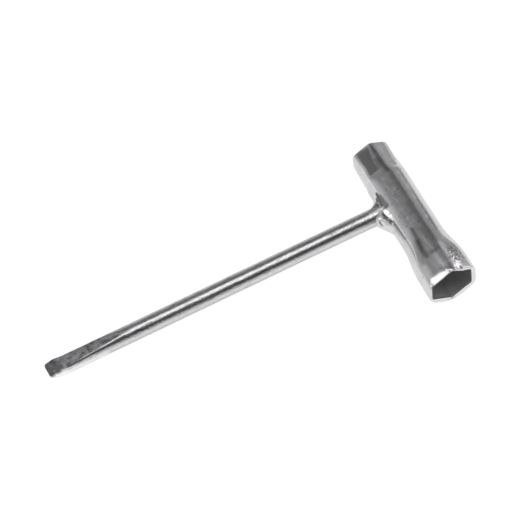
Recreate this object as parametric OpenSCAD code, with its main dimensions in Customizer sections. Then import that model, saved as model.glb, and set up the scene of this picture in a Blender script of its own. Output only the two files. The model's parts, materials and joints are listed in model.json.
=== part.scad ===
// Combination wrench for a chainsaw: a formed steel tube with a hexagon socket at each end,
// and a round bar welded to its side that ends in a flat screwdriver blade.
// X runs along the bar to the blade, Y along the tube to the large socket, Z out of the T.
// The origin is where the two axes cross. Sizes are in millimetres.

/* [Sockets] */
// Hexagon that the large socket takes, across its flats
large_nut = 19; // [18:1:21]
// Hexagon that the small socket takes, across its flats
small_nut = 13; // [10:1:14]
// Play between a nut and its socket, across the flats
socket_play = 0.2; // [0.1:0.05:0.3]
// Straight depth of the large hexagon
large_depth = 10.5; // [8:0.5:14]
// Straight depth of the small hexagon
small_depth = 11.5; // [8:0.5:13]

/* [Tube] */
// Outside diameter of the round middle of the tube
tube_od = 19.8; // [19.4:0.1:21]
// Wall thickness of the tube
wall = 2; // [1.6:0.1:2.4]
// From the bar's axis to the mouth of the large socket
large_reach = 47.7; // [44:0.1:60]
// From the bar's axis to the mouth of the small socket
small_reach = 30; // [29:0.5:40]
// Length over which the tube widens to the large hexagon
flare = 13; // [10:0.5:16]
// Length over which the flats of the small hexagon are pressed in
ramp = 5; // [3:0.5:6]
// Chamfer around the outside of both mouths
lip = 0.7; // [0.2:0.1:1]
// Chamfer that leads a nut into both mouths
lead_in = 0.3; // [0.1:0.1:0.6]
// How far the corners inside both hexagons are rounded off
corner_break = 0.2; // [0.1:0.05:0.4]
// How much more the outside corners of the large hexagon are rounded off
large_round = 0.35; // [0:0.05:0.6]

/* [Bar] */
// Diameter of the round bar
bar_d = 8.2; // [6:0.1:9]
// From the tube's axis to the end of the blade
tip_reach = 174.5; // [140:0.5:220]

/* [Blade] */
// Length of the forged flats, up to the end of the blade
flat_length = 40; // [30:1:60]
// Thickness where the forged flats meet the ground tip
neck_t = 5.4; // [3:0.1:5.6]
// Length of the ground tip
tip_length = 6; // [5:0.5:12]
// Thickness of the tip's edge
tip_t = 1.2; // [0.8:0.1:2]
// Width of the tip's edge
tip_w = 6.6; // [5:0.1:7.6]
// Length over which the blade narrows to its edge
narrow_length = 10; // [6:0.5:20]

/* [Weld] */
// Height of the weld bead over the tube
weld_h = 2.4; // [1.5:0.1:3]
// Half of the bead's length along the tube
weld_spread = 9.2; // [8:0.1:11]
// How far the bead sits off the bar's axis, toward the large socket
weld_shift = 1.6; // [0:0.1:2]
// Radius of the bead around the tube
weld_r = 7; // [6:0.25:8]
// Length of the fillet that runs up the bar
fillet_length = 5.5; // [3:0.5:7]
// Width of the fillet's foot around the bar
fillet_foot = 1.6; // [1:0.1:2.2]
// Thickness of the weld's edge on the bar
weld_toe = 0.12; // [0.08:0.02:0.2]

/* [Hidden] */
$fn = 96;
tube_r = tube_od / 2;
bar_r = bar_d / 2;
bore_r = tube_r - wall;
// Inside sizes of the hexagons: to a flat, and to a corner
large_flat = (large_nut + socket_play) / 2;
small_flat = (small_nut + socket_play) / 2;
large_corner = large_flat / cos(30) - corner_break;
small_corner = small_flat / cos(30) - corner_break;
// The corners bend this much further from the mouths than the flats
corner_lag = corner_break / 2;
// The pressed flats start this far outside the round tube, so that its middle stays round
flat_start = 0.3;
// How far a cutting shape runs past the surface that it cuts
over = 1;
steel = [0.72, 0.73, 0.75];
plated = [0.66, 0.67, 0.70];
bead = [0.60, 0.60, 0.62];

// Half outline along the tube: a radius at each step from the small mouth to the large one.
// The edge is the chamfer at the mouths: below 0 on the outer skin, above 0 in the bore,
// where it runs past the mouths. The lag moves the bends away from the mouths.
function outline(small, middle, large, edge, past, lag) = [
    [small + edge + past, -small_reach - past],
    [small, -small_reach + abs(edge) + lag],
    [small, -small_reach + small_depth + lag],
    [middle, -small_reach + small_depth + ramp],
    [middle, large_reach - large_depth - flare],
    [large, large_reach - large_depth - lag],
    [large, large_reach - abs(edge) - lag],
    [large + edge + past, large_reach + past]
];

function reversed(list) = [for (i = [len(list) - 1 : -1 : 0]) list[i]];

function mirrored(list) = [for (p = list) [-p[0], p[1]]];

// One skin of the formed tube: a turned shape that the three pairs of flats are pressed into.
module formed(skin, edge, past) {
    large = large_corner + skin - (skin > 0 ? large_round : 0);
    corners = outline(small_corner + skin, bore_r + skin, large, edge, past, corner_lag);
    flats = outline(small_flat + skin, bore_r + flat_start + skin, large_flat + skin, edge, past, 0);
    intersection() {
        rotate([-90, 0, 0])
            rotate_extrude()
                polygon(concat([[0, corners[0][1]]], corners, [[0, corners[7][1]]]));
        intersection_for(turn = [0, 60, 120])
            rotate([0, turn, 0])
                linear_extrude(height = 3 * tube_od, center = true)
                    polygon(concat(flats, reversed(mirrored(flats))));
    }
}

// The tube's round outside, which the bar and the weld are fitted to
module tube_round() {
    rotate([90, 0, 0])
        cylinder(r = tube_r, h = 2 * (large_reach + small_reach), center = true);
}

module bar_round() {
    rotate([0, 90, 0])
        cylinder(r = bar_r, h = tip_reach);
}

// Side view of the bar: full height, then the forged flats, then the ground tip
module blade_side() {
    slope = (bar_r - neck_t / 2) / (flat_length - tip_length);
    half = [
        [-over, bar_r + over],
        [tip_reach - flat_length - over / slope, bar_r + over],
        [tip_reach - tip_length, neck_t / 2],
        [tip_reach, tip_t / 2]
    ];
    rotate([90, 0, 0])
        linear_extrude(height = 2 * bar_d, center = true)
            polygon(concat(half, reversed([for (p = half) [p[0], -p[1]]])));
}

// Plan view of the bar: full width, then narrowing to the tip's edge
module blade_plan() {
    slope = (bar_r - tip_w / 2) / narrow_length;
    round_off = tip_t / 2;
    half = [
        [-over, bar_r + over],
        [tip_reach - narrow_length - over / slope, bar_r + over],
        [tip_reach - round_off, tip_w / 2 + slope * round_off],
        [tip_reach, tip_w / 2 - round_off]
    ];
    linear_extrude(height = 2 * bar_d, center = true)
        polygon(concat(half, reversed([for (p = half) [p[0], -p[1]]])));
}

// Bead that lies along the tube and wraps its side
module bead_along_tube() {
    arc_r = (weld_h * weld_h + weld_spread * weld_spread) / (2 * weld_h);
    translate([tube_r + weld_h - weld_r, weld_shift, 0])
        rotate([-90, 0, 0])
            rotate_extrude()
                intersection() {
                    translate([weld_r - arc_r, 0])
                        circle(r = arc_r);
                    translate([0, -2 * arc_r])
                        square([arc_r, 4 * arc_r]);
                }
}

// Hollow fillet that runs up the bar
module fillet_on_bar() {
    foot = fillet_foot - weld_toe;
    arc_r = (foot * foot + fillet_length * fillet_length) / (2 * foot);
    top = tube_r + weld_h + fillet_length - fillet_foot / 2;
    rotate([0, 90, 0])
        rotate_extrude()
            difference() {
                square([bar_r + fillet_foot, top]);
                translate([bar_r + weld_toe + arc_r, top])
                    circle(r = arc_r);
            }
}

module socket_head() {
    color(steel)
        difference() {
            formed(wall, -lip, 0);
            formed(0, lead_in, over);
        }
}

module handle_bar() {
    color(plated)
        difference() {
            intersection() {
                bar_round();
                blade_side();
                blade_plan();
            }
            tube_round();
        }
}

module weld_bead() {
    color(bead)
        difference() {
            union() {
                bead_along_tube();
                fillet_on_bar();
            }
            tube_round();
            bar_round();
        }
}

socket_head();
handle_bar();
weld_bead();
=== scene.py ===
"""Chainsaw combination wrench: the looks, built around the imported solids.

The frame is the solids' own: X along the bar to the blade, Y along the tube to the large socket,
Z out of the T, with the origin where the two axes cross. Lengths are in metres.
"""

import json
import math

import bpy
import numpy as np
from mathutils import Matrix, Vector


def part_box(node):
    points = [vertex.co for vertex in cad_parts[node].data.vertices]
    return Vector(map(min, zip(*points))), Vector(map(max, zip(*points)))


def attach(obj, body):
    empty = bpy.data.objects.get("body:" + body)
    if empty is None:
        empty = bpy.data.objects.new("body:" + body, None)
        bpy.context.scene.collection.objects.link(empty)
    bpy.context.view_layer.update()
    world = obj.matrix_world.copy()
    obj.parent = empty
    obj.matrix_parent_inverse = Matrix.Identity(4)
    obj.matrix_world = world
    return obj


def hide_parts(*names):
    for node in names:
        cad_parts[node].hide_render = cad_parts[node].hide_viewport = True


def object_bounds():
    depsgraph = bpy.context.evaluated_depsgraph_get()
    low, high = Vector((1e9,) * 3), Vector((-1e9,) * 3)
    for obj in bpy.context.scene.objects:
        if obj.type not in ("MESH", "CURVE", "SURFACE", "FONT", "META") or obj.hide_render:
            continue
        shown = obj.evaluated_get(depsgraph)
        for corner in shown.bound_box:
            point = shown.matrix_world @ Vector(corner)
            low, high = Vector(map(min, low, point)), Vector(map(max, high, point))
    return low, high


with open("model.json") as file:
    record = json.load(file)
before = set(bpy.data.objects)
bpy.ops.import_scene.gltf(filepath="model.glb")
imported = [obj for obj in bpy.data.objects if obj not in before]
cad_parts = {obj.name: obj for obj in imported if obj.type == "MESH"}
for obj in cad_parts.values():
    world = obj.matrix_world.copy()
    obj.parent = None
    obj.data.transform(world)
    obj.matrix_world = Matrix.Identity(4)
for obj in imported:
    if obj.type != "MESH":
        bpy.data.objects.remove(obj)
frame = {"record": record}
CAD_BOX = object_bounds()
HEAD_LOW, HEAD_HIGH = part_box("socket_head")
BAR_LOW, BAR_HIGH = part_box("handle_bar")
MM = 0.001
BORE_RADIUS = next(m["dims"]["r_mm"] for m in frame["record"]["mounts"] if m["name"] == "plug_bore") * MM
MERGE_GAP = 0.002 * MM
SMOOTH_ANGLE = math.radians(50.0)
# Each degree of a full turn
TURNS = np.arange(-180.0, 180.0)
# Soot with painted shade and painted dark reflections, and painted matte highlights, where two pieces meet:
# each stroke's points and width in millimetres, and its strength
# Soot, painted shade and painted dark reflections on the tube beside the weld
TUBE_SOOT_AND_SHADE = (
    (((8.4, -7.0, 5.4), (8.7, -4.4, 4.9), (8.8, -2.6, 4.8), (9.0, -0.3, 4.9)), 1.5, 1.0),
    (((8.1, -5.8, 5.7), (8.2, -2.0, 5.7), (8.3, -0.3, 5.7)), 1.5, 0.85),
    (((7.8, -4.6, 6.1), (7.6, -1.0, 6.4), (7.3, 1.2, 6.7)), 1.8, 0.75),
    (((9.1, -5.8, 3.9), (9.3, -4.2, 4.0)), 1.0, 0.9),
)
# Soot and painted shade on the bar's root beside the weld
ROOT_SOOT_AND_SHADE = (
    (((10.2, -3.2, 3.4), (10.2, -2.1, 3.6)), 1.0, 0.9),
    (((11.2, -2.9, 3.1), (13.0, -2.6, 3.2)), 1.0, 0.85),
)
# Painted matte highlights on the bar's root beside the weld
ROOT_PAINTED_MATTE_HIGHLIGHT = (
    (((10.2, -0.2, 4.1), (13.0, 0.2, 4.1)), 1.6, 1.0),
    (((13.0, -0.1, 4.1), (15.5, 0.0, 4.1)), 1.3, 0.8),
)

bl_info = {
    "name": "Chainsaw combination wrench",
    "version": (1, 0, 0),
    "blender": (4, 5, 0),
    "location": "View3D > Sidebar > Wrench",
    "description": "Adds a plated T-shaped socket wrench with a screwdriver blade, and its studio",
    "category": "Add Mesh",
}


def length(name, description, default):
    """A size in metres that a user can change."""
    return bpy.props.FloatProperty(
        name=name, description=description, default=default, min=0.0, precision=5, unit="LENGTH"
    )


def share(name, description, default):
    """A number from 0 to 1 that a user can change."""
    return bpy.props.FloatProperty(
        name=name, description=description, default=default, min=0.0, max=1.0, subtype="FACTOR"
    )


def tint(name, description, default):
    """A colour that a user can change."""
    return bpy.props.FloatVectorProperty(
        name=name, description=description, default=default, min=0.0, max=1.0, subtype="COLOR", size=3
    )


def bearing(name, description, degrees):
    """An angle that a user can change."""
    return bpy.props.FloatProperty(
        name=name, description=description, default=math.radians(degrees), subtype="ANGLE"
    )


class WrenchHeadSettings(bpy.types.PropertyGroup):
    """Sizes of the formed tube and its two sockets."""

    wall: length("Wall", "Thickness of the tube's wall", 2.0 * MM)
    small_flat: length("Small flat", "From the axis to a flat inside the small socket", 6.6 * MM)
    small_corner: length("Small corner", "From the axis to a corner inside the small socket", 7.42 * MM)
    small_depth: length("Small depth", "Length of the small hexagon's flats", 14.3 * MM)
    small_taper: length("Small taper", "How much shallower the small flats are at their inner end", 0.75 * MM)
    shoulder: length("Shoulder", "Length of the slope from the small flats up to the round tube", 4.1 * MM)
    small_swage: length("Small swage", "Length over which the tube narrows to the small corners", 9.5 * MM)
    swage_depth: length("Swage depth", "From the small mouth to where the tube starts to narrow", 17.4 * MM)
    large_corner: length("Large corner", "From the axis to a corner inside the large socket", 10.88 * MM)
    large_depth: length("Large depth", "Straight depth of the large hexagon", 11.0 * MM)
    flare: length("Flare", "Length over which the bore widens to the large hexagon", 14.0 * MM)
    outer_depth: length("Outer depth", "Length of the large end that has its full width", 6.2 * MM)
    outer_flare: length("Outer flare", "Length over which the outside of the tube widens", 24.0 * MM)
    large_round: length("Large round", "How much the large hexagon's outer corners are drawn in", 0.35 * MM)
    large_lip: length("Large lip", "Length over which the large mouth is peened in on one side", 4.0 * MM)
    lip_drop: length("Lip drop", "How far that side of the large mouth is peened in", 1.0 * MM)
    dent: length("Dent", "Depth of the dent beside the large mouth's top corner", 0.45 * MM)
    dent_place: length("Dent place", "From the large mouth to that dent", 0.5 * MM)
    dent_size: length("Dent size", "How far that dent spreads along the tube", 1.5 * MM)
    burr: length("Burr", "How far the inner edge of the large mouth stands in beside that dent", 0.5 * MM)
    burr_length: length("Burr length", "Length of that burr along the tube", 2.5 * MM)
    belly: length("Belly", "Radius of the rounder underside of the large end", 11.95 * MM)
    knock: length("Knock", "How far a lower corner of the large end is knocked in", 0.6 * MM)
    small_lip: length("Small lip", "Length over which the small mouth is turned in", 1.2 * MM)
    small_drop: length("Small drop", "How far the small mouth is turned in", 0.15 * MM)
    lip_edge: length("Lip edge", "Radius of the outer edge around both mouths", 0.35 * MM)
    dish: length("Dish", "How much deeper the large mouth's inner edge lies than its outer edge", 0.85 * MM)
    lead_in: length("Lead-in", "Radius of the inner edge around the small mouth", 0.25 * MM)
    outer_fold: length("Outer fold", "Softness of the bends on the outside", 0.6 * MM)
    inner_fold: length("Inner fold", "Softness of the bends on the inside", 0.2 * MM)
    flat_start: length("Flat start", "How far outside the round tube the pressed flats begin", 0.3 * MM)
    ripple: length("Ripple", "Depth of the waves that forming left in the tube", 0.045 * MM)
    ripple_size: length("Ripple size", "Size of those waves", 7.0 * MM)
    die_marks: length("Die marks", "Depth of the marks that the die left on one large flat", 0.16 * MM)
    die_mark_size: length("Die mark size", "Size of those marks", 1.1 * MM)


class WrenchBarSettings(bpy.types.PropertyGroup):
    """Sizes of the round bar and its blade."""

    flat_length: length("Flat length", "Length of the forged flats, up to the end of the blade", 40.0 * MM)
    neck_thickness: length("Neck thickness", "Thickness where the flats meet the ground tip", 5.4 * MM)
    tip_length: length("Tip length", "Length of the ground tip", 6.0 * MM)
    tip_thickness: length("Tip thickness", "Thickness of the tip's edge", 1.2 * MM)
    tip_width: length("Tip width", "Width of the tip's edge", 6.6 * MM)
    narrow_length: length("Narrowing", "Length over which the blade narrows to its edge", 10.0 * MM)
    tip_round: length("Tip round", "Radius of the tip's corners", 0.8 * MM)
    tip_shift: length("Tip shift", "How far the tip sits off the axis, to the small socket's side", 0.6 * MM)
    ridge: length("Ridge", "Softness of the ridges beside the forged flats", 0.14 * MM)
    dents: length("Dents", "Depth of the hammer marks on the flats", 0.16 * MM)
    dent_size: length("Dent size", "Size of the hammer marks", 2.2 * MM)


class WrenchWeldSettings(bpy.types.PropertyGroup):
    """Sizes of the weld between the bar and the tube."""

    lumps: length("Lumps", "Height of the lumps in the weld", 0.25 * MM)
    lump_size: length("Lump size", "Size of the lumps in the weld", 3.0 * MM)
    root: length("Root", "How deep the weld is set into the tube and the bar", 0.4 * MM)


class WrenchFinishSettings(bpy.types.PropertyGroup):
    """Colours and gloss of the plating, and the colours of its painted shade and highlights."""

    plating: tint("Plating", "Bright zinc plating on the round metal", (0.632, 0.63, 0.627))
    stain: tint("Stain", "Duller tone in the plating", (0.495, 0.485, 0.505))
    ground: tint("Ground", "Bright metal on the rim of the large mouth", (0.90, 0.90, 0.89))
    # Colour of the painted highlights and painted bright reflections
    painted_highlight_tint: tint("Polish", "Brightest plating, on the flare by the large mouth", (0.93, 0.92, 0.94))
    forged: tint("Forged", "Matte plating on the forged flats", (0.38, 0.375, 0.385))
    scale: tint("Scale", "Dark patches on the forged flats", (0.17, 0.165, 0.18))
    # Dark specks, and also the colour of painted shade and painted dark reflections
    soot_and_shade: tint("Soot", "Dark specks and crevices", (0.055, 0.052, 0.05))
    # Colour of the painted matte highlights at the weld and the bar's root
    painted_matte_highlight: tint("Frost", "Pale, matte plating that the weld's heat left", (0.92, 0.92, 0.91))
    bore: tint("Bore", "Dull plating inside the sockets", (0.55, 0.55, 0.55))
    rim_metal: share("Rim metal", "How metallic the rim of the large mouth looks", 0.55)
    bore_metal: share("Bore metal", "How metallic the plating inside the sockets looks", 0.1)
    dull: share("Bore roughness", "Roughness inside the sockets", 0.65)
    gloss: share("Tube roughness", "Roughness of the plated tube", 0.16)
    matte: share("Flat roughness", "Roughness of the forged flats", 0.34)


class WrenchStageSettings(bpy.types.PropertyGroup):
    """Camera, floor and light."""

    azimuth: bearing("Azimuth", "Camera's turn about Z", 159.14)
    elevation: bearing("Elevation", "Camera's height above the T", 59.07)
    roll: bearing("Roll", "Camera's turn about its own axis", -7.34)
    distance: length("Distance", "From the camera to the point that it looks at", 1.7316)
    lens: bpy.props.FloatProperty(
        name="Lens", description="Focal length", default=271.88, subtype="DISTANCE_CAMERA"
    )
    aim: bpy.props.FloatVectorProperty(
        name="Aim",
        description="Point that the camera looks at",
        default=(0.06778, -0.00527, -0.00002),
        subtype="XYZ",
    )
    floor: tint("Floor", "Colour of the floor", (0.56, 0.56, 0.56))
    glow: tint("Glow", "Colour of the floor's glow", (0.995, 1.0, 0.985))
    glow_level: share("Glow level", "Strength of the floor's glow", 0.79)
    light: tint("Light", "Colour of the studio's light", (0.993, 0.979, 1.0))


def ramp_between(t, soft=0.3):
    """0 to 1 as t goes from 0 to 1: a straight ramp whose ends are rounded over the soft share of it."""
    t = min(max(t, 0.0), 1.0)
    speed = 1.0 / (1.0 - soft)
    if t < soft:
        return speed * t * t / (2.0 * soft)
    if t > 1.0 - soft:
        return 1.0 - speed * (1.0 - t) ** 2 / (2.0 * soft)
    return speed * (t - soft / 2.0)


def ease(t):
    """0 to 1 as t goes from 0 to 1, slowly at both ends."""
    t = np.clip(t, 0.0, 1.0)
    return t * t * t * (10.0 + t * (6.0 * t - 15.0))


def soft_min(a, b, fold):
    """The lesser of a and b, rounded over where they are within a fold of each other."""
    near = np.maximum(fold - np.abs(a - b), 0.0) / fold
    return np.minimum(a, b) - near * near * fold / 4.0


def hump(values, centre, spread):
    """1 at the centre, falling to 0 on both sides."""
    return np.exp(-((values - centre) / spread) ** 2)


def smooth_round(values, softness):
    """Values at each degree of a full turn, smoothed over a few degrees."""
    kernel = np.hanning(softness + 2)
    smoothed = np.convolve(np.tile(values, 3), kernel / kernel.sum(), "same")
    return smoothed[len(values):-len(values)]


def blend(a, b, t):
    """a at t = 0, b at t = 1."""
    return a + (b - a) * t


def steps(start, stop, spacing):
    """Evenly spaced values from start to stop, no further apart than spacing."""
    count = max(int(math.ceil(abs(stop - start) / spacing)), 1)
    return [start + (stop - start) * i / count for i in range(count + 1)]


def arc(centre, radius, start, stop, count):
    """Points on an arc in a plane, angles in degrees."""
    angles = [math.radians(start + (stop - start) * i / count) for i in range(count + 1)]
    return [(centre[0] + radius * math.cos(a), centre[1] + radius * math.sin(a)) for a in angles]


def draw_chain(name, points, closed):
    """A new object in edit mode: a chain of edges through the points."""
    bpy.ops.object.select_all(action="DESELECT")
    bpy.ops.mesh.primitive_plane_add(size=MM)
    piece = bpy.context.object
    piece.name = piece.data.name = name
    bpy.ops.object.mode_set(mode="EDIT")
    bpy.ops.mesh.merge(type="CENTER")
    bpy.ops.transform.translate(value=points[0])
    for here, there in zip(points, points[1:]):
        move = Vector(there) - Vector(here)
        bpy.ops.mesh.extrude_vertices_move(TRANSFORM_OT_translate={"value": move})
    bpy.ops.mesh.select_all(action="SELECT")
    if closed:
        bpy.ops.object.mode_set(mode="OBJECT")
        last = len(piece.data.vertices) - 1
        for vertex in piece.data.vertices:
            vertex.select = vertex.index in (0, last)
        for edge in piece.data.edges:
            edge.select = False
        bpy.ops.object.mode_set(mode="EDIT")
        bpy.ops.mesh.edge_face_add()
        bpy.ops.mesh.select_all(action="SELECT")
    return piece


def leave_facing_out():
    """Turns every face outwards and leaves edit mode."""
    bpy.ops.mesh.select_all(action="SELECT")
    bpy.ops.mesh.normals_make_consistent(inside=False)
    bpy.ops.object.mode_set(mode="OBJECT")


def spin_chain(axis, sides):
    """Turns the selected chain about an axis through the origin, and closes the seam."""
    bpy.ops.mesh.spin(steps=sides, angle=math.tau, center=(0.0, 0.0, 0.0), axis=axis)
    bpy.ops.mesh.select_all(action="SELECT")
    bpy.ops.mesh.remove_doubles(threshold=MERGE_GAP)
    leave_facing_out()


def vertex_places(piece):
    """The piece's vertices as an array of points."""
    places = np.empty(len(piece.data.vertices) * 3)
    piece.data.vertices.foreach_get("co", places)
    return places.reshape(-1, 3)


def set_vertex_places(piece, places):
    """Moves the piece's vertices to an array of points."""
    piece.data.vertices.foreach_set("co", places.astype(np.float32).ravel())
    piece.data.update()


def set_attribute(piece, name, values):
    """A number on each vertex, which materials read."""
    attribute = piece.data.attributes.new(name, "FLOAT", "POINT")
    attribute.data.foreach_set("value", np.asarray(values, np.float32))


def brush(places, strokes):
    """How much paint each place gets from strokes."""
    paint = np.zeros(len(places))
    for points, width, strength in strokes:
        points = np.array(points) * MM
        for start, stop in zip(points, points[1:]):
            along = stop - start
            share_along = np.clip((places - start) @ along / (along @ along), 0.0, 1.0)
            gap = np.linalg.norm(places - start - share_along[:, None] * along, axis=1)
            paint = np.maximum(paint, strength * (1.0 - ease(gap / (width * MM))))
    return paint


def roughen(piece, name, depth, size, weights=None, detail=2):
    """Moves the surface in and out along its normals, by cloudy waves of a depth and a size."""
    texture = bpy.data.textures.new(name, "CLOUDS")
    texture.noise_scale = size
    texture.noise_depth = detail
    modifier = piece.modifiers.new(name, "DISPLACE")
    modifier.texture = texture
    modifier.texture_coords = "LOCAL"
    modifier.strength = depth
    if weights is not None:
        group = piece.vertex_groups.new(name=name)
        for index, weight in enumerate(weights):
            group.add([index], float(weight), "REPLACE")
        modifier.vertex_group = name
    bpy.context.view_layer.objects.active = piece
    bpy.ops.object.modifier_apply(modifier=name)


def finish_piece(piece, node, material):
    """Smooth shading, a finish, and the place of a solid. Nothing stands out of the solids' box."""
    low, high = (np.array(corner) for corner in CAD_BOX)
    set_vertex_places(piece, np.clip(vertex_places(piece), low, high))
    bpy.ops.object.select_all(action="DESELECT")
    piece.select_set(True)
    bpy.context.view_layer.objects.active = piece
    bpy.ops.object.shade_smooth_by_angle(angle=SMOOTH_ANGLE)
    piece.data.materials.clear()
    piece.data.materials.append(material)
    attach(piece, "root")
    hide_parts(node)


def feed(tree, source, socket):
    """Gives a socket a constant or another node's output."""
    if isinstance(source, bpy.types.NodeSocket):
        tree.links.new(source, socket)
    else:
        socket.default_value = source


def calculate(tree, operation, a, b):
    """Works out a number from two constants or outputs."""
    node = tree.nodes.new("ShaderNodeMath")
    node.operation = operation
    feed(tree, a, node.inputs[0])
    feed(tree, b, node.inputs[1])
    return node.outputs["Value"]


def map_range(tree, value, low, high, to_low, to_high):
    """Maps a value from low..high to to_low..to_high, smoothly, and holds it there."""
    node = tree.nodes.new("ShaderNodeMapRange")
    node.interpolation_type = "SMOOTHSTEP"
    tree.links.new(value, node.inputs["Value"])
    node.inputs["From Min"].default_value = low
    node.inputs["From Max"].default_value = high
    node.inputs["To Min"].default_value = to_low
    node.inputs["To Max"].default_value = to_high
    return node.outputs["Result"]


class Finish:
    """A material's nodes, added one after another."""

    # The strength of soot with painted shade, and of painted matte highlights, that starts to hide the metal,
    # and how metallic it looks when covered
    COVER_START = 0.3
    COVERED_METAL = 0.1

    def __init__(self, name, edge):
        self.material = bpy.data.materials.new(name)
        self.material.use_nodes = True
        self.tree = self.material.node_tree
        self.shader = self.tree.nodes["Principled BSDF"]
        self.shader.inputs["Metallic"].default_value = 1.0
        self.shader.inputs["Specular Tint"].default_value = (edge, edge, edge, 1.0)
        self.place = self.tree.nodes.new("ShaderNodeTexCoord").outputs["Object"]

    def link(self, output, target):
        self.tree.links.new(output, target)

    def drive(self, name, output):
        """Gives one of the shader's own sockets a node's output."""
        self.link(output, self.shader.inputs[name])

    def noise(self, size, detail=3.0, stretch=(1.0, 1.0, 1.0)):
        """Cloudy noise with features of a size, drawn out along an axis by stretch."""
        mapping = self.tree.nodes.new("ShaderNodeMapping")
        mapping.inputs["Scale"].default_value = [1.0 / s for s in stretch]
        self.link(self.place, mapping.inputs["Vector"])
        noise = self.tree.nodes.new("ShaderNodeTexNoise")
        noise.inputs["Scale"].default_value = 1.0 / size
        noise.inputs["Detail"].default_value = detail
        self.link(mapping.outputs["Vector"], noise.inputs["Vector"])
        return noise.outputs["Fac"]

    def attribute(self, name):
        node = self.tree.nodes.new("ShaderNodeAttribute")
        node.attribute_name = name
        return node.outputs["Fac"]

    def spread(self, value, low, high, to_low=0.0, to_high=1.0):
        return map_range(self.tree, value, low, high, to_low, to_high)

    def times(self, a, b):
        return calculate(self.tree, "MULTIPLY", a, b)

    def mix(self, factor, a, b, kind="RGBA"):
        """a where the factor is 0, b where it is 1. Each is a value or another node's output."""
        node = self.tree.nodes.new("ShaderNodeMix")
        node.data_type = kind
        sockets = [s for s in node.inputs if s.enabled]
        self.link(factor, sockets[0])
        for socket, source in zip(sockets[1:], (a, b)):
            if kind == "RGBA" and not isinstance(source, bpy.types.NodeSocket):
                source = (*source, 1.0)
            feed(self.tree, source, socket)
        return next(s for s in node.outputs if s.enabled)

    def bare(self, cover):
        """How metallic the plating looks under soot with painted shade, and under painted matte highlights.
        """
        return self.spread(cover, self.COVER_START, 1.0, 1.0, self.COVERED_METAL)

    def relief(self, *bumps):
        """Raises the surface by one bump over another: a height from 0 to 1, its size and its strength."""
        normal = None
        for height, distance, strength in bumps:
            node = self.tree.nodes.new("ShaderNodeBump")
            node.inputs["Distance"].default_value = distance
            node.inputs["Strength"].default_value = strength
            self.link(height, node.inputs["Height"])
            if normal is not None:
                self.link(normal, node.inputs["Normal"])
            normal = node.outputs["Normal"]
        self.drive("Normal", normal)


def plated_tube_finish(finish):
    """Bright plating over a drawn tube: cloudy stains, fine lengthways scratches and small pits, with painted
    shade and painted highlights.
    """
    nodes = Finish("plated_tube", edge=0.85)
    along_tube = (1.0, 9.0, 1.0)
    clouds = nodes.spread(nodes.noise(9.0 * MM, 4.0), 0.42, 0.68, 0.15, 0.55)
    pits = nodes.spread(nodes.noise(0.7 * MM, 2.0), 0.64, 0.73)
    colour = nodes.mix(clouds, finish.plating, finish.stain)
    colour = nodes.mix(pits, colour, finish.soot_and_shade)
    # Painted highlights, then soot with painted shade and painted dark reflections
    colour = nodes.mix(nodes.attribute("painted_highlight"), colour, finish.painted_highlight_tint)
    shade = nodes.attribute("shade")
    colour = nodes.mix(shade, colour, finish.soot_and_shade)
    inside = nodes.attribute("inside")
    worn = nodes.attribute("worn")
    blotches = nodes.times(nodes.spread(nodes.noise(1.1 * MM, 4.0), 0.46, 0.62), worn)
    colour = nodes.mix(blotches, colour, finish.scale)
    rim = nodes.attribute("rim")
    colour = nodes.mix(rim, colour, finish.ground)
    # Painted shade on one side of the large socket darkens the bore there
    bore = nodes.mix(nodes.attribute("socket_shade"), finish.bore, finish.soot_and_shade)
    colour = nodes.mix(inside, colour, bore)
    nodes.drive("Base Color", colour)
    metal = nodes.mix(rim, nodes.bare(shade), finish.rim_metal, "FLOAT")
    metal = nodes.mix(inside, metal, finish.bore_metal, "FLOAT")
    nodes.drive("Metallic", metal)
    gloss = nodes.spread(nodes.noise(3.0 * MM, 5.0), 0.3, 0.75, finish.gloss * 0.7, finish.gloss * 1.5)
    nodes.drive("Roughness", nodes.mix(inside, gloss, finish.dull, "FLOAT"))
    nodes.relief(
        (nodes.noise(0.5 * MM, 3.0, along_tube), 0.006 * MM, 0.6),
        (nodes.noise(2.4 * MM, 3.0), 0.035 * MM, 0.7),
        (nodes.noise(1.0 * MM, 2.0), 0.02 * MM, 0.7),
        (nodes.times(nodes.noise(0.8 * MM, 3.0), worn), 0.16 * MM, 0.8),
    )
    return nodes.material


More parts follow.
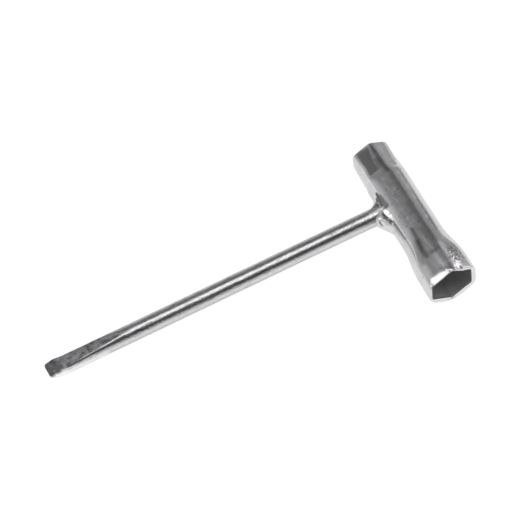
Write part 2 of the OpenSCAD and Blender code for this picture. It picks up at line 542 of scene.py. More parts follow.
def plated_bar_finish(finish):
    """Bright plating on the round bar, matte and speckled on the forged flats, with painted shade and painted
    highlights.
    """
    nodes = Finish("plated_bar", edge=0.5)
    along_bar = (12.0, 1.0, 1.0)
    drawn_out = (2.5, 1.0, 1.0)
    forged = nodes.attribute("forged")
    clouds = nodes.spread(nodes.noise(6.0 * MM, 4.0, drawn_out), 0.42, 0.7, 0.05, 0.35)
    grain = nodes.spread(nodes.noise(0.6 * MM, 3.0), 0.40, 0.60, 0.0, 0.18)
    grit = nodes.noise(0.8 * MM, 4.0)
    specks = nodes.spread(grit, 0.58, 0.72)
    streaks = nodes.noise(0.45 * MM, 4.0, along_bar)
    bright = nodes.mix(clouds, finish.plating, finish.stain)
    bright = nodes.mix(nodes.spread(streaks, 0.58, 0.74), bright, finish.soot_and_shade)
    bright = nodes.mix(grain, bright, finish.scale)
    patches = nodes.noise(2.2 * MM, 5.0)
    dull = nodes.mix(nodes.spread(patches, 0.44, 0.66), finish.forged, finish.scale)
    dull = nodes.mix(specks, dull, finish.plating)
    dull = nodes.mix(nodes.spread(nodes.noise(0.9 * MM, 4.0), 0.60, 0.72), dull, finish.soot_and_shade)
    # Soot with painted shade, and painted matte highlights, make the plating less metallic
    shade, painted_matte_highlight = nodes.attribute("shade"), nodes.attribute("painted_matte_highlight")
    nodes.drive("Metallic", nodes.times(nodes.bare(shade), nodes.bare(painted_matte_highlight)))
    # Painted highlights, painted matte highlights, then soot with painted shade
    bright = nodes.mix(nodes.attribute("painted_highlight"), bright, finish.painted_highlight_tint)
    bright = nodes.mix(painted_matte_highlight, bright, finish.painted_matte_highlight)
    colour = nodes.mix(forged, bright, dull)
    colour = nodes.mix(shade, colour, finish.soot_and_shade)
    nodes.drive("Base Color", colour)
    gloss = nodes.noise(2.0 * MM, 5.0, along_bar)
    gloss = nodes.spread(gloss, 0.3, 0.75, finish.gloss * 0.85, finish.gloss * 1.2)
    nodes.drive("Roughness", nodes.mix(forged, gloss, finish.matte, "FLOAT"))
    nodes.relief(
        (streaks, 0.012 * MM, 0.7),
        (nodes.noise(2.4 * MM, 3.0, drawn_out), 0.09 * MM, 0.7),
        (nodes.noise(0.75 * MM, 3.0), 0.13 * MM, 0.8),
        (nodes.times(grit, forged), 0.12 * MM, 0.8),
    )
    return nodes.material


def plated_weld_finish(finish):
    """Plating over weld metal: painted highlights on the crowns, soot and painted shade in the hollows, and
    small pits.
    """
    nodes = Finish("plated_weld", edge=0.8)
    patches = nodes.noise(2.2 * MM, 3.0)
    colour = nodes.mix(nodes.spread(patches, 0.5, 0.7), finish.plating, finish.stain)
    # Painted highlights, painted matte highlights and soot with painted shade; the last two make the plating
    # less metallic
    shade, painted_matte_highlight = nodes.attribute("shade"), nodes.attribute("painted_matte_highlight")
    colour = nodes.mix(nodes.attribute("painted_highlight"), colour, finish.painted_highlight_tint)
    colour = nodes.mix(painted_matte_highlight, colour, finish.painted_matte_highlight)
    colour = nodes.mix(shade, colour, finish.soot_and_shade)
    nodes.drive("Metallic", nodes.times(nodes.bare(shade), nodes.bare(painted_matte_highlight)))
    nodes.drive("Base Color", colour)
    nodes.drive("Roughness", nodes.spread(patches, 0.3, 0.7, 0.12, 0.24))
    nodes.relief((nodes.noise(1.8 * MM, 1.0), 0.04 * MM, 0.5))
    return nodes.material


class MESH_OT_wrench_head_add(bpy.types.Operator):
    """Turn a tube and press a hexagon socket into each end"""

    bl_idname = "mesh.wrench_head_add"
    bl_label = "Formed Tube Head"

    SIDES = 216
    BORE_SOFTNESS = 0.3
    SHOULDER_SOFTNESS = 0.08
    OUTER_SPACING = 0.5 * MM
    INNER_SPACING = 1.0 * MM
    RIM_STEPS = 5
    EDGE_STEPS = 5
    LEAD_STEPS = 4
    # Turn from the bar's side over the top, in degrees, and the share of the peened lip there
    LIP = ((30.0, 0.0), (39.0, 1.0), (64.0, 0.9), (84.0, 0.5), (95.0, 0.0))
    LIP_POWER = 1.4
    # Turn and millimetres that the dished inner edge of the large mouth rises there
    RISE = (
        (-120.0, 0.3), (-90.0, 0.2), (-50.0, 0.2), (-20.0, 0.0),
        (80.0, 0.0), (100.0, 0.35), (125.0, 0.6), (180.0, 0.7),
    )
    MOUTH_SOFTNESS = 9
    # The dent beside the top corner: its turn in degrees, its spread, and how far it keeps die marks away
    DENT_TURN = 109.5
    DENT_SPREAD = 7.0
    DENT_CLEAN = 0.25
    # The die marks' turn from the top to the bar's side in degrees, and their spread there
    DIE_TURN = -29.0
    DIE_SPREAD = 15.0
    # Their distance from the large mouth and their spread there in millimetres, and how full the middle is
    DIE_PLACE = 8.0
    DIE_LENGTH = 5.0
    DIE_CORE = 1.4
    # The burr inside the mouth, and the rounder underside: the turn in degrees and the spread of each
    BURR_TURN = 120.0
    BURR_SPREAD = 22.0
    BELLY_TURN = -105.0
    BELLY_SPREAD = 24.0
    BELLY_SHARE = 0.85
    # The lower corner that is knocked round at the large mouth: its turn in degrees and its spread
    KNOCK_TURN = -30.0
    KNOCK_SPREAD = 13.0
    # How closely the rounder underside and the knocked corner keep to the large mouth
    MOUTH_POWER = 4
    # Painted shade in the large socket: its turn in degrees, its spread, its depth and how dark it is
    SOCKET_SHADE_TURN = -150.0
    SOCKET_SHADE_SPREAD = 60.0
    SOCKET_SHADE_DEPTH = 20.0 * MM
    SOCKET_SHADE = 0.68
    FLAT_TOP = 4
    # Shares of the wall that count as the bore's skin and as the rim, and how much of the dish is bright
    SKIN = 0.02
    RIM_EDGE = 0.85
    DISH_COVER = 1.2
    # Painted shade on one flat of the small hexagon, for the dark reflection there: its turn in degrees, how
    # dark it is, and how sharply it ends
    SHADED_FLAT_TURN = 60.0
    SHADED_FLAT_DARKNESS = 0.75
    SHADED_FLAT_EDGE = 0.12 * MM
    SHADED_FLAT_MOUTH = 2.6 * MM
    SHADED_FLAT_SIDE = (36.0, 50.0)
    HALF_FLAT = 30.0
    # Painted shade and dark reflections, and lighter plating painted for highlights and bright reflections,
    # as distances along the tube and turns from the bar's side
    # Painted shade and painted dark reflections
    PAINTED_SHADE = (
        (((18.5, 65.0), (25.0, 63.0)), 1.6, 0.75),
        (((25.0, 62.0), (31.0, 59.5), (34.5, 62.0)), 2.3, 0.95),
        (((34.0, 66.0), (34.5, 84.0)), 1.6, 0.35),
        (((37.0, 57.0), (45.0, 60.0)), 2.0, 0.3),
        (((42.4, 56.0), (43.0, 60.0)), 1.1, 0.5),
        (((43.8, 75.0), (43.4, 71.0)), 1.1, 0.6),
        (((36.5, 121.0), (40.5, 127.0), (44.0, 128.0)), 2.2, 0.45),
        (((-21.0, 80.0), (-16.5, 80.0)), 1.6, 0.4),
        (((12.5, 23.0), (15.5, 24.0)), 1.4, 0.3),
        (((-13.0, 129.0), (22.0, 129.0)), 2.0, 0.22),
        (((3.0, 125.0), (7.0, 124.0), (20.0, 124.0), (24.0, 122.0)), 1.1, 0.4),
        (((-30.5, 94.0), (-24.0, 92.0), (-18.0, 89.0), (-13.5, 94.0)), 1.5, 0.45),
        (((-29.0, 146.0), (-24.0, 142.0), (-18.5, 138.0)), 1.1, 0.4),
        (((9.0, 28.0), (19.0, 30.0)), 1.4, 0.35),
    )
    # Lighter plating painted for highlights and bright reflections
    PAINTED_HIGHLIGHT = (
        (((37.0, 80.0), (43.0, 84.0)), 2.6, 0.9),
        (((38.0, 46.0), (44.0, 46.0)), 2.4, 0.8),
        (((36.0, 91.0), (42.5, 93.0)), 2.0, 0.9),
        (((32.0, 102.0), (36.0, 104.0), (43.0, 112.0)), 3.0, 0.9),
        (((-30.0, 118.0), (-16.0, 118.0)), 4.0, 0.4),
        (((-29.3, 66.0), (-29.3, 94.0)), 1.5, 1.0),
    )

    def execute(self, context):
        self.size = context.scene.wrench_head
        head = draw_chain("tube_head", self.wall_outline(), closed=True)
        spin_chain((0.0, 1.0, 0.0), self.SIDES)
        outside = self.press_hexagons(head)
        worn = outside * self.die_mark_area(head) * (1.0 - self.dented ** self.DENT_CLEAN)
        set_attribute(head, "worn", worn)
        places = vertex_places(head)
        # Soot with painted shade at the joint, painted shade and dark reflections, and the shaded small flat
        # all go into shade; painted highlights go into their own attribute
        soot_and_shade = brush(places, TUBE_SOOT_AND_SHADE)
        dark, bright = (brush(places, self.on_tube(strokes)) for strokes in (self.PAINTED_SHADE, self.PAINTED_HIGHLIGHT))
        set_attribute(head, "shade", outside * np.maximum(np.maximum(soot_and_shade, dark), self.shaded_flat))
        set_attribute(head, "painted_highlight", outside * bright)
        roughen(head, "forming_waves", self.size.ripple, self.size.ripple_size, outside)
        roughen(head, "die_marks", self.size.die_marks, self.size.die_mark_size, worn)
        material = plated_tube_finish(context.scene.wrench_finish)
        finish_piece(head, "socket_head", material)
        return {"FINISHED"}

    def flared_inside(self, y):
        """0 in the round bore, 1 in the large hexagon."""
        s = self.size
        return ramp_between((y - HEAD_HIGH.y + s.large_depth + s.flare) / s.flare, self.BORE_SOFTNESS)

    def flared_outside(self, y):
        """0 on the round tube, 1 on the outside of the large hexagon."""
        s = self.size
        return float(ease((y - HEAD_HIGH.y + s.outer_depth + s.outer_flare) / s.outer_flare))

    def rounded(self, y):
        """0 at the small corners, 1 in the round tube."""
        s = self.size
        swage_end = HEAD_LOW.y + s.swage_depth
        return ramp_between((y - swage_end + s.small_swage) / s.small_swage)

    def small_radius(self, y):
        """From the axis to an inner corner, with no large end."""
        return blend(self.size.small_corner, BORE_RADIUS, self.rounded(y))

    def inner_radius(self, y):
        """From the axis to an inner corner, or to the round bore."""
        return blend(self.small_radius(y), self.size.large_corner, self.flared_inside(y))

    def outer_radius(self, y):
        """From the axis to an outer corner, or to the tube's round outside."""
        s = self.size
        large = s.large_corner - s.large_round
        return blend(self.small_radius(y), large, self.flared_outside(y)) + s.wall

    def lip_radius(self, y):
        """The outer radius, less what the small mouth is turned in."""
        s = self.size
        turned = max((HEAD_LOW.y + s.small_lip - y) / s.small_lip, 0.0)
        return self.outer_radius(y) - s.small_drop * turned ** self.LIP_POWER

    def small_flat_distance(self, y):
        """From the axis to an inner flat, with no large end."""
        s = self.size
        depth = y - HEAD_LOW.y
        flat = s.small_flat + s.small_taper * min(depth / s.small_depth, 1.0)
        stepped = ramp_between((depth - s.small_depth) / s.shoulder, self.SHOULDER_SOFTNESS)
        return blend(flat, BORE_RADIUS + s.flat_start, stepped)

    def inner_flat(self, y):
        return blend(self.small_flat_distance(y), HEAD_HIGH.x - self.size.wall, self.flared_inside(y))

    def outer_flat(self, y):
        s = self.size
        return blend(self.small_flat_distance(y) + s.wall, HEAD_HIGH.x, self.flared_outside(y))

    def wall_outline(self):
        """Closed outline of the wall, before pressing: up the outside, over the rim and down the bore."""
        s = self.size
        low, high = HEAD_LOW.y, HEAD_HIGH.y
        edge, lead = s.lip_edge, s.lead_in
        outside = [(self.lip_radius(y), y) for y in steps(low + edge, high - edge, self.OUTER_SPACING)]
        bore = [(self.inner_radius(y), y) for y in steps(high - s.dish, low + lead, self.INNER_SPACING)]
        points = outside[:-1]
        points += arc((outside[-1][0] - edge, high - edge), edge, 0.0, 90.0, self.EDGE_STEPS)
        rim = Vector(points[-1])
        points += [tuple(rim.lerp(Vector(bore[0]), i / self.RIM_STEPS)) for i in range(1, self.RIM_STEPS)]
        points += bore[:-1]
        points += arc((bore[-1][0] + lead, low + lead), lead, 180.0, 270.0, self.LEAD_STEPS)
        points += arc((outside[0][0] - edge, low + edge), edge, 270.0, 360.0, self.EDGE_STEPS)[:-1]
        return [(r, y, 0.0) for r, y in points]

    def on_tube(self, strokes):
        """Strokes whose points are a distance along the tube and a turn, as points in space."""
        placed = []
        for points, width, strength in strokes:
            line = []
            for y, turn in points:
                radius = self.outer_radius(y * MM) / MM
                angle = math.radians(turn)
                line.append((radius * math.cos(angle), y, radius * math.sin(angle)))
            placed.append((line, width, strength))
        return placed

    def round_mouth(self, degrees, knots):
        """A value at each turn, from a few turns and values round the mouth, smoothed."""
        values = np.interp(TURNS, *np.array(knots).T, period=360.0)
        return np.interp(degrees, TURNS, smooth_round(values, self.MOUTH_SOFTNESS), period=360.0)

    def die_mark_area(self, head):
        """Where the die marked the large end: 1 in the middle of the marks, fading to 0."""
        places = vertex_places(head)
        off_turn = np.degrees(np.arctan2(places[:, 0], places[:, 2])) - self.DIE_TURN
        off_place = (HEAD_HIGH.y - places[:, 1]) / MM - self.DIE_PLACE
        marks = np.exp(-(off_turn / self.DIE_SPREAD) ** 2 - (off_place / self.DIE_LENGTH) ** 2)
        return np.clip(self.DIE_CORE * marks, 0.0, 1.0)

    def press_hexagons(self, head):
        """Presses six flats into each end, and returns how far out in the wall each vertex is."""
        s = self.size
        places = vertex_places(head)
        radius = np.hypot(places[:, 0], places[:, 2])
        angle = np.arctan2(places[:, 2], places[:, 0])
        degrees = np.degrees(angle)
        sixth = math.tau / 6.0
        off_flat = (angle + sixth / 2.0) % sixth - sixth / 2.0
        inner, outer, inner_flat, outer_flat = (
            np.array([shape(y) for y in places[:, 1]])
            for shape in (self.inner_radius, self.outer_radius, self.inner_flat, self.outer_flat)
        )
        depth = np.clip((radius - inner) / (outer - inner), 0.0, 1.0)
        plane = blend(inner_flat, outer_flat, depth) / np.cos(off_flat)
        pressed = soft_min(radius, plane, blend(s.inner_fold, s.outer_fold, depth))
        # Painted shade on one flat of the small socket
        self.shaded_flat = self.flat_shade(places, degrees, radius - plane)
        pressed = self.batter_mouth(places, degrees, depth, pressed)
        pressed = self.round_underside(places, degrees, depth, pressed)
        places[:, 0] *= pressed / radius
        places[:, 2] *= pressed / radius
        set_vertex_places(head, places)
        self.paint_socket(head, places, degrees, depth)
        return depth

    def flat_shade(self, places, degrees, sunk):
        """How much painted shade the shaded flat of the small hexagon gets, where it is sunk below the round;
        it stands in for the dark reflection on that flat.
        """
        start, full = self.SHADED_FLAT_SIDE
        facing = np.abs(degrees - self.SHADED_FLAT_TURN) < self.HALF_FLAT
        turned = ease((degrees - start) / (full - start))
        from_mouth = places[:, 1] - HEAD_LOW.y
        on_flat = facing & (from_mouth < self.size.small_depth)
        sharp = np.clip(sunk / self.SHADED_FLAT_EDGE, 0.0, 1.0)
        return self.SHADED_FLAT_DARKNESS * sharp * turned * on_flat * ease(from_mouth / self.SHADED_FLAT_MOUTH)

    def batter_mouth(self, places, degrees, depth, pressed):
        """Peens and dents the large mouth, raises its burr and dishes its rim. Returns the new radius."""
        s = self.size
        along = places[:, 1]
        peened = self.round_mouth(degrees, self.LIP)
        lip = np.maximum(s.large_lip * peened, MM)
        turned = np.clip((along - HEAD_HIGH.y + lip) / lip, 0.0, 1.0)
        pressed = pressed - s.lip_drop * peened * depth * turned ** self.LIP_POWER
        off_dent = (degrees - self.DENT_TURN) / self.DENT_SPREAD
        off_place = (HEAD_HIGH.y - s.dent_place - along) / s.dent_size
        self.dented = np.exp(-off_dent ** 2 - off_place ** 2)
        pressed -= s.dent * depth * self.dented
        at_mouth = (1.0 - depth) * ease((along - HEAD_HIGH.y + s.burr_length) / s.burr_length)
        pressed -= s.burr * hump(degrees, self.BURR_TURN, self.BURR_SPREAD) * at_mouth
        places[:, 1] += self.round_mouth(degrees, self.RISE) * MM * at_mouth
        return pressed

    def round_underside(self, places, degrees, depth, pressed):
        """Swells the underside of the large end and knocks in a lower corner. Returns the new radius."""
        s = self.size
        flared = np.array([self.flared_outside(y) for y in places[:, 1]])
        near_mouth = depth * flared ** self.MOUTH_POWER
        belly = self.BELLY_SHARE * hump(degrees, self.BELLY_TURN, self.BELLY_SPREAD)
        pressed = blend(pressed, s.belly - s.wall * (1.0 - depth), belly * near_mouth)
        return pressed - s.knock * hump(degrees, self.KNOCK_TURN, self.KNOCK_SPREAD) * near_mouth

    def paint_socket(self, head, places, degrees, depth):
        """Marks the bore and the rim of the large mouth, and paints shade on one side of the large socket."""
        s = self.size
        from_mouth = HEAD_HIGH.y - places[:, 1]
        set_attribute(head, "inside", (depth < self.SKIN) & (from_mouth > self.DISH_COVER * s.dish))
        in_rim = (depth > self.SKIN) & (depth < self.RIM_EDGE)
        set_attribute(head, "rim", in_rim & (from_mouth < s.dish + s.lip_edge))
        off_socket_shade = ((degrees - self.SOCKET_SHADE_TURN + 180.0) % 360.0 - 180.0) / self.SOCKET_SHADE_SPREAD
        fading = 1.0 - ease(from_mouth / self.SOCKET_SHADE_DEPTH)
        set_attribute(head, "socket_shade", self.SOCKET_SHADE * np.exp(-off_socket_shade ** self.FLAT_TOP) * fading)


class MESH_OT_wrench_bar_add(bpy.types.Operator):
    """Draw a round bar and forge its end into a screwdriver blade"""

    bl_idname = "mesh.wrench_bar_add"
    bl_label = "Round Bar with Blade"

    SIDES = 112
    ROOT_LENGTH = 9.0 * MM
    ROOT_SPACING = 0.35 * MM
    ROUND_SPACING = 2.5 * MM
    FORGED_SPACING = 0.4 * MM
    EDGE_SPACING = 0.12 * MM
    SECTION_POINTS = 1440
    # The forged finish also covers the far side of the blade, from this length on and with this sharp an edge
    FAR_LENGTH = 12.0 * MM
    FAR_EDGE = 3.0
    # It also covers the ridges beside the flats over this length at the end, and gets there this much sooner
    RIDGE_LENGTH = 18.0 * MM
    RIDGE_PACE = 2.0
    # Soot and painted shade by the weld, a painted dark reflection along a ridge of the blade, and darker
    # paint on its ground tip
    SOOT_AND_SHADE = (
        *ROOT_SOOT_AND_SHADE,
        (((138.0, 2.0, 3.6), (146.0, 2.5, 3.2), (152.0, 2.6, 3.2)), 0.9, 0.85),
        (((150.0, 2.4, 3.3), (158.0, 2.9, 2.9), (166.0, 3.2, 2.6)), 0.7, 0.9),
        (((170.5, -3.0, 1.8), (170.5, 2.4, 1.8)), 3.0, 0.7),
        (((173.5, -3.4, 0.8), (173.5, 2.8, 0.8)), 3.0, 0.7),
    )
    # Painted reflection: brighter plating on the near side of the blade, where it reflects the floor
    PAINTED_HIGHLIGHT = (
        (((148.0, 3.9, -1.2), (174.5, 3.0, -0.4)), 3.2, 1.0),
    )

    def execute(self, context):
        self.size = context.scene.wrench_bar
        self.radius = BAR_HIGH.y
        self.flats = BAR_HIGH.x - self.size.flat_length
        stations = steps(BAR_LOW.x, BAR_LOW.x + self.ROOT_LENGTH, self.ROOT_SPACING)
        stations += steps(stations[-1], self.flats, self.ROUND_SPACING)[1:]
        stations += steps(self.flats, BAR_HIGH.x - self.size.tip_round, self.FORGED_SPACING)[1:]
        stations += steps(BAR_HIGH.x - self.size.tip_round, BAR_HIGH.x, self.EDGE_SPACING)[1:]
        bar = draw_chain("round_bar", [(x, 0.0, self.radius) for x in stations], closed=False)
        spin_chain((1.0, 0.0, 0.0), self.SIDES)
        forged = self.forge(bar, stations)
        self.close_ends()
        set_attribute(bar, "forged", forged)
        places = vertex_places(bar)
        # Soot with painted shade, painted matte highlights and painted highlights, each in its own attribute
        for name, strokes in (("shade", self.SOOT_AND_SHADE), ("painted_matte_highlight", ROOT_PAINTED_MATTE_HIGHLIGHT), ("painted_highlight", self.PAINTED_HIGHLIGHT)):
            set_attribute(bar, name, brush(places, strokes))
        roughen(bar, "hammer_marks", self.size.dents, self.size.dent_size, forged)
        material = plated_bar_finish(context.scene.wrench_finish)
        finish_piece(bar, "handle_bar", material)
        return {"FINISHED"}

    def half_thickness(self, x):
        """From the bar's axis to a forged flat or the ground tip."""
        s = self.size
        from_end = BAR_HIGH.x - x
        if from_end > s.tip_length:
            slope = (from_end - s.tip_length) / (s.flat_length - s.tip_length)
            return blend(s.neck_thickness / 2.0, self.radius, slope)
        return blend(s.tip_thickness / 2.0, s.neck_thickness / 2.0, from_end / s.tip_length)

    def half_width(self, x):
        """From the blade's middle to its side."""
        s = self.size
        from_end = BAR_HIGH.x - x
        width = blend(s.tip_width / 2.0, self.radius, from_end / s.narrow_length)
        if from_end < s.tip_round:
            inset = 1.0 - from_end / s.tip_round
            width -= s.tip_round * (1.0 - math.sqrt(max(1.0 - inset * inset, 0.0)))
        return width

    def section(self, x):
        """Points round the bar at x, evenly spaced, and how much each lies on a forged flat."""
        angle = np.linspace(0.0, math.tau, self.SECTION_POINTS + 1)
        tiny = 1e-9
        flat = self.half_thickness(x) / np.maximum(np.abs(np.sin(angle)), tiny)
        side = self.half_width(x) / np.maximum(np.abs(np.cos(angle)), tiny)
        radius = np.full_like(angle, self.radius)
        if x > self.flats:
            radius = soft_min(radius, flat, self.size.ridge)
            radius = soft_min(radius, side, self.size.ridge)
        shift = self.size.tip_shift * ramp_between(1.0 - (BAR_HIGH.x - x) / self.size.narrow_length)
        y, z = radius * np.cos(angle) - shift, radius * np.sin(angle)
        run = np.concatenate([[0.0], np.cumsum(np.hypot(np.diff(y), np.diff(z)))])
        even = np.linspace(0.0, run[-1], self.SIDES + 1)[:-1]
        wide = 2.0 * self.size.ridge
        over = wide * ease((x - BAR_HIGH.x + self.RIDGE_LENGTH) / self.RIDGE_LENGTH * self.RIDGE_PACE)
        pressed = np.clip((self.radius - flat + over) / wide, 0.0, 1.0) * (x > self.flats)
        far_side = ease(-np.cos(angle) * self.FAR_EDGE) * ease((x - self.flats) / self.FAR_LENGTH)
        pressed = np.maximum(pressed, far_side)
        points = [np.interp(even, run, values) for values in (y, z, pressed)]
        return np.column_stack(points)

    def forge(self, bar, stations):
        """Presses the flats and grinds the tip, and returns how much each vertex lies on a flat."""
        places = vertex_places(bar)
        turn = np.arctan2(places[:, 2], places[:, 1]) % math.tau
        index = np.rint(turn / math.tau * self.SIDES).astype(int) % self.SIDES
        station = np.abs(places[:, 0][:, None] - np.array(stations)[None, :]).argmin(axis=1)
        sections = [self.section(x) for x in stations]
        formed = np.array([sections[s][i] for s, i in zip(station, index)])
        places[:, 1:] = formed[:, :2]
        set_vertex_places(bar, places)
        return formed[:, 2]

    def close_ends(self):
        """Fills the two open ends."""
        bpy.ops.object.mode_set(mode="EDIT")
        bpy.ops.mesh.select_mode(type="EDGE")
        bpy.ops.mesh.select_all(action="DESELECT")
        bpy.ops.mesh.select_non_manifold()
        bpy.ops.mesh.fill_holes(sides=0)
        bpy.ops.mesh.select_mode(type="VERT")
        leave_facing_out()


class MESH_OT_wrench_weld_add(bpy.types.Operator):
    """Lay a weld around the bar's root: hollow on one side, full on the other"""

    bl_idname = "mesh.wrench_weld_add"
    bl_label = "Weld"

    AROUND = 216
    ACROSS = 72
    # How many of the points across are on the outer surface
    BEAD_POINTS = 51
    RING_RADIUS = 2.0 * BAR_HIGH.y
    TURN_DIGITS = 5
    # Turn about the bar from the large socket's side, and the foot's distance, the toe's height and the bulge
    COURSE = (
        (0.0, 11.8, 4.4, -0.2),
        (20.0, 11.0, 4.6, 0.1),
        (36.0, 9.6, 4.4, 0.35),
        (46.0, 8.4, 4.1, 0.45),
        (54.0, 7.5, 3.7, 0.5),
        (68.0, 6.9, 2.7, 0.55),
        (80.0, 6.6, 1.6, 0.45),
        (90.0, 6.0, 0.5, 0.3),
        (100.0, 5.0, -0.3, 0.0),
        (120.0, 4.8, 0.3, 0.0),
        (135.0, 6.0, 2.0, -0.3),
        (147.0, 8.6, 3.6, -0.9),
        (180.0, 9.0, 5.2, -1.5),
    )
    # Soot, painted shade and painted dark reflections in the weld's hollows
    SOOT_AND_SHADE = (
        *TUBE_SOOT_AND_SHADE,
        *ROOT_SOOT_AND_SHADE,
        (((10.6, 3.6, 5.0), (10.4, 4.6, 5.1), (10.0, 6.2, 5.0)), 1.3, 1.0),
        (((11.1, 4.9, 4.7), (10.2, 7.0, 4.6), (9.6, 8.7, 4.2)), 1.1, 0.9),
        (((9.4, 7.4, 4.9), (9.0, 8.6, 4.7)), 1.4, 1.0),
        (((13.2, 4.8, 2.6), (12.8, 6.3, 1.2)), 0.9, 0.85),
    )
    # Painted matte highlights along the weld's far edge and over the bar
    PAINTED_MATTE_HIGHLIGHT = (
        (((8.4, -8.0, 5.4), (9.4, -4.6, 4.1), (9.7, -2.0, 4.0), (9.7, -0.6, 4.2)), 0.4, 0.9),
        (((9.6, 0.9, 5.1), (9.8, 2.0, 5.3)), 1.5, 1.0),
        *ROOT_PAINTED_MATTE_HIGHLIGHT,
    )
    # Painted highlight on the crown of the bead
    PAINTED_HIGHLIGHT = (
        (((9.7, 2.0, 5.8), (8.3, 6.3, 5.9)), 1.4, 1.0),
    )
    COURSE_SOFTNESS = 15
    # How soon the lumps reach full height from the weld's edges, and the share of it on the hollow side
    LUMP_RISE = 1.5
    HOLLOW_LUMPS = 0.15

    def execute(self, context):
        self.size = context.scene.wrench_weld
        self.tube_radius = BORE_RADIUS + context.scene.wrench_head.wall
        bpy.ops.object.select_all(action="DESELECT")
        bpy.ops.mesh.primitive_torus_add(
            major_segments=self.AROUND,
            minor_segments=self.ACROSS,
            major_radius=self.RING_RADIUS,
            minor_radius=BAR_HIGH.y,
            rotation=(0.0, math.radians(90.0), 0.0),
        )
        weld = context.object
        weld.name = weld.data.name = "weld_run"
        bpy.ops.object.transform_apply(location=True, rotation=True, scale=True)
        self.plan_course()
        bead = self.lay(weld)
        roughen(weld, "weld_lumps", self.size.lumps, self.size.lump_size, bead, detail=1)
        places = vertex_places(weld)
        # Soot with painted shade, painted matte highlights and painted highlights, each in its own attribute
        for name, strokes in (("shade", self.SOOT_AND_SHADE), ("painted_matte_highlight", self.PAINTED_MATTE_HIGHLIGHT), ("painted_highlight", self.PAINTED_HIGHLIGHT)):
            set_attribute(weld, name, brush(places, strokes))
        material = plated_weld_finish(context.scene.wrench_finish)
        finish_piece(weld, "weld_bead", material)
        return {"FINISHED"}

    def outline(self, turn):
        """Closed outline of the weld at a turn about the bar, as (distance from the bar's axis, x)."""
        s = self.size
        degrees = math.degrees(turn)
        foot, side, bulge = (np.interp(degrees, TURNS, row, period=360.0) for row in self.course)
        ground = Vector((foot, self.tube_x(foot * math.sin(turn))))
        toe = Vector((BAR_HIGH.y, self.tube_radius + side))
        chord = toe - ground
        out = Vector((chord.y, -chord.x)).normalized()
        crown = (ground + toe) / 2.0 + out * 2.0 * bulge
        points = []
        for i in range(self.BEAD_POINTS):
            t = i / (self.BEAD_POINTS - 1)
            points.append(ground * (1 - t) ** 2 + crown * 2 * t * (1 - t) + toe * t * t)
        inner = BAR_HIGH.y - s.root
        root_points = self.ACROSS - self.BEAD_POINTS
        corner = Vector((inner, self.tube_x(inner * math.sin(turn)) - s.root))
        down = root_points // 2
        for i in range(root_points):
            if i < down:
                points.append(Vector((inner, toe.y)).lerp(corner, i / down))
            else:
                radius = blend(inner, foot - s.root, (i - down) / (root_points - down))
                points.append(Vector((radius, self.tube_x(radius * math.sin(turn)) - s.root)))
        return points

    def plan_course(self):
        """Foot, toe and bulge at each degree about the bar, smoothed."""
        turns, *rows = np.array(self.COURSE).T
        self.course = []
        for row in rows:
            values = np.interp(np.abs(TURNS), turns, row * MM)
            self.course.append(smooth_round(values, self.COURSE_SOFTNESS))

    def tube_x(self, z):
        """The tube's side at a height."""
        return math.sqrt(self.tube_radius ** 2 - z * z)

    def lay(self, weld):
        """Shapes the ring into the weld, and returns where its outer surface is."""
        places = vertex_places(weld)
        turn = np.arctan2(places[:, 2], places[:, 1])
        ring = np.hypot(places[:, 1], places[:, 2]) - self.RING_RADIUS
        across = np.arctan2(places[:, 0], ring) % math.tau
        index = np.rint(across / math.tau * self.ACROSS).astype(int) % self.ACROSS
        cache = {}
        bead = np.zeros(len(places))
        for i, (t, k) in enumerate(zip(turn, index)):
            key = round(t, self.TURN_DIGITS)
            if key not in cache:
                cache[key] = self.outline(t)
            radius, x = cache[key][k]
            places[i] = (x, radius * math.cos(t), radius * math.sin(t))
            if k < self.BEAD_POINTS:
                at = k / (self.BEAD_POINTS - 1)
                near = 0.5 + 0.5 * math.cos(t)
                crown = 4.0 * at * (1.0 - at)
                bead[i] = min(crown * self.LUMP_RISE, 1.0) * blend(self.HOLLOW_LUMPS, 1.0, near)
        set_vertex_places(weld, places)
        bpy.context.view_layer.objects.active = weld
        bpy.ops.object.mode_set(mode="EDIT")
        leave_facing_out()
        return bead


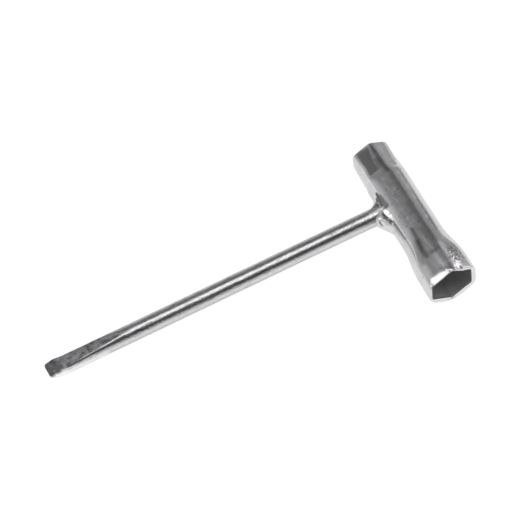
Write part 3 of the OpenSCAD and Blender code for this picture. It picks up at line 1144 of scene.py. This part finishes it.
class SCENE_OT_wrench_stage_add(bpy.types.Operator):
    """Add the floor that the wrench lies on, the light and the camera"""

    bl_idname = "scene.wrench_stage_add"
    bl_label = "Studio"

    FLOOR_RADIUS = 4.0
    FLOOR_SIDES = 96
    # Direction, the two values of facing it that the glow runs between, and the light at each
    SKY = (
        ((-0.12, 0.0, 0.99), 0.895, 0.995, 0.0, 1.5),
        ((1.0, 0.0, 0.0), -0.5, 0.55, 0.165, 0.34),
        ((-1.0, 0.0, 0.0), 0.5, 0.7, 0.0, 0.25),
        ((1.0, 0.0, 0.0), 0.55, 0.9, 0.0, 0.40),
        ((0.0, -1.0, 0.0), 0.7, 1.0, 0.0, 0.24),
        ((0.72, 0.2, 0.66), 0.92, 0.985, 0.0, 1.5),
        ((0.43, -0.20, 0.87), 0.978, 0.992, 0.0, 1.5),
        ((-0.92, -0.17, 0.32), 0.955, 0.98, 0.0, 1.5),
        ((-0.82, -0.55, -0.12), 0.976, 0.993, 0.0, 0.32),
        ((0.13, -0.77, 0.62), 0.97, 0.995, 0.0, 0.10),
        ((0.0, 1.0, 0.0), 0.2, 0.7, 0.0, -0.10),
        ((0.0, 1.0, 0.0), 0.86, 0.99, 0.0, 0.70),
    )
    SENSOR = 36.0
    NEAREST = 0.01
    FARTHEST = 50.0
    # How many times the wrench rocks from one set of touching places to the next before it lies still
    SETTLING = 12

    def execute(self, context):
        self.settings = context.scene.wrench_stage
        self.lie_on_floor()
        self.add_floor()
        self.add_sky(context.scene)
        self.add_camera(context.scene)
        context.scene.view_settings.view_transform = "Standard"
        return {"FINISHED"}

    def lie_on_floor(self):
        """Works out the floor from the three places that the wrench lies on: both mouths and the blade."""
        head, bar = (vertex_places(bpy.data.objects[name]) for name in ("tube_head", "round_bar"))
        ends = (head[head[:, 1] > 0.0], head[head[:, 1] < 0.0], bar)
        self.up = Vector((0.0, 0.0, 1.0))
        for _ in range(self.SETTLING):
            large, small, blade = (Vector(end[(end @ np.array(self.up)).argmin()]) for end in ends)
            self.up = (blade - large).cross(small - large).normalized()
            if self.up.z < 0.0:
                self.up.negate()
        self.ground = large
        self.turn = Vector((0.0, 0.0, 1.0)).rotation_difference(self.up)

    def add_floor(self):
        bpy.ops.object.select_all(action="DESELECT")
        bpy.ops.mesh.primitive_circle_add(
            vertices=self.FLOOR_SIDES,
            radius=self.FLOOR_RADIUS,
            fill_type="NGON",
            location=self.ground,
            rotation=self.turn.to_euler(),
        )
        floor = bpy.context.object
        floor.name = floor.data.name = "floor"
        material = bpy.data.materials.new("studio_floor")
        material.use_nodes = True
        tree = material.node_tree
        tree.nodes.remove(tree.nodes["Principled BSDF"])
        diffuse = tree.nodes.new("ShaderNodeBsdfDiffuse")
        diffuse.inputs["Color"].default_value = (*self.settings.floor, 1.0)
        glow = tree.nodes.new("ShaderNodeEmission")
        glow.inputs["Color"].default_value = (*self.settings.glow, 1.0)
        path = tree.nodes.new("ShaderNodeLightPath").outputs
        seen = calculate(tree, "MAXIMUM", path["Is Camera Ray"], path["Is Glossy Ray"])
        seen = calculate(tree, "MAXIMUM", seen, path["Is Transmission Ray"])
        level = calculate(tree, "MULTIPLY", seen, self.settings.glow_level)
        tree.links.new(level, glow.inputs["Strength"])
        both = tree.nodes.new("ShaderNodeAddShader")
        tree.links.new(diffuse.outputs["BSDF"], both.inputs[0])
        tree.links.new(glow.outputs["Emission"], both.inputs[1])
        tree.links.new(both.outputs["Shader"], tree.nodes["Material Output"].inputs["Surface"])
        floor.data.materials.append(material)

    def add_sky(self, scene):
        """The studio's light: a softbox overhead, grey walls, and small bright panels between them."""
        world = bpy.data.worlds.new("studio")
        world.use_nodes = True
        scene.world = world
        tree = world.node_tree
        direction = tree.nodes.new("ShaderNodeTexCoord").outputs["Generated"]
        light = 0.0
        for axis, *glow in self.SKY:
            facing = tree.nodes.new("ShaderNodeVectorMath")
            facing.operation = "DOT_PRODUCT"
            facing.inputs[1].default_value = Vector(axis).normalized()
            tree.links.new(direction, facing.inputs[0])
            light = calculate(tree, "ADD", light, map_range(tree, facing.outputs["Value"], *glow))
        background = tree.nodes["Background"]
        tree.links.new(light, background.inputs["Strength"])
        background.inputs["Color"].default_value = (*self.settings.light, 1.0)

    def add_camera(self, scene):
        s = self.settings
        flat = math.cos(s.elevation)
        back = Vector((math.sin(s.azimuth) * flat, -math.cos(s.azimuth) * flat, math.sin(s.elevation)))
        bpy.ops.object.camera_add(location=Vector(s.aim) + back * s.distance)
        camera = bpy.context.object
        camera.name = "camera"
        camera.rotation_mode = "QUATERNION"
        roll = Matrix.Rotation(s.roll, 4, "Z").to_quaternion()
        camera.rotation_quaternion = (-back).to_track_quat("-Z", "Y") @ roll
        camera.data.lens = s.lens
        camera.data.sensor_width = self.SENSOR
        camera.data.clip_start = self.NEAREST
        camera.data.clip_end = self.FARTHEST
        scene.camera = camera


class VIEW3D_PT_wrench(bpy.types.Panel):
    """Lists the wrench's pieces and its studio"""

    bl_idname = "VIEW3D_PT_wrench"
    bl_label = "Combination Wrench"
    bl_space_type = "VIEW_3D"
    bl_region_type = "UI"
    bl_category = "Wrench"

    def draw(self, context):
        for operator in OPERATORS:
            self.layout.operator(operator.bl_idname)
        for name in SETTINGS:
            group = getattr(context.scene, name)
            box = self.layout.box()
            for item in group.bl_rna.properties:
                if item.identifier not in ("rna_type", "name"):
                    box.prop(group, item.identifier)


SETTINGS = {
    "wrench_head": WrenchHeadSettings,
    "wrench_bar": WrenchBarSettings,
    "wrench_weld": WrenchWeldSettings,
    "wrench_finish": WrenchFinishSettings,
    "wrench_stage": WrenchStageSettings,
}
OPERATORS = (
    MESH_OT_wrench_head_add,
    MESH_OT_wrench_bar_add,
    MESH_OT_wrench_weld_add,
    SCENE_OT_wrench_stage_add,
)
CLASSES = (*SETTINGS.values(), *OPERATORS, VIEW3D_PT_wrench)


def register():
    for item in CLASSES:
        bpy.utils.register_class(item)
    for name, group in SETTINGS.items():
        setattr(bpy.types.Scene, name, bpy.props.PointerProperty(type=group))


def unregister():
    for name in SETTINGS:
        delattr(bpy.types.Scene, name)
    for item in reversed(CLASSES):
        bpy.utils.unregister_class(item)


def main():
    """Builds the wrench and its studio."""
    register()
    bpy.ops.mesh.wrench_head_add()
    bpy.ops.mesh.wrench_bar_add()
    bpy.ops.mesh.wrench_weld_add()
    bpy.ops.scene.wrench_stage_add()


if __name__ == "__main__":
    main()
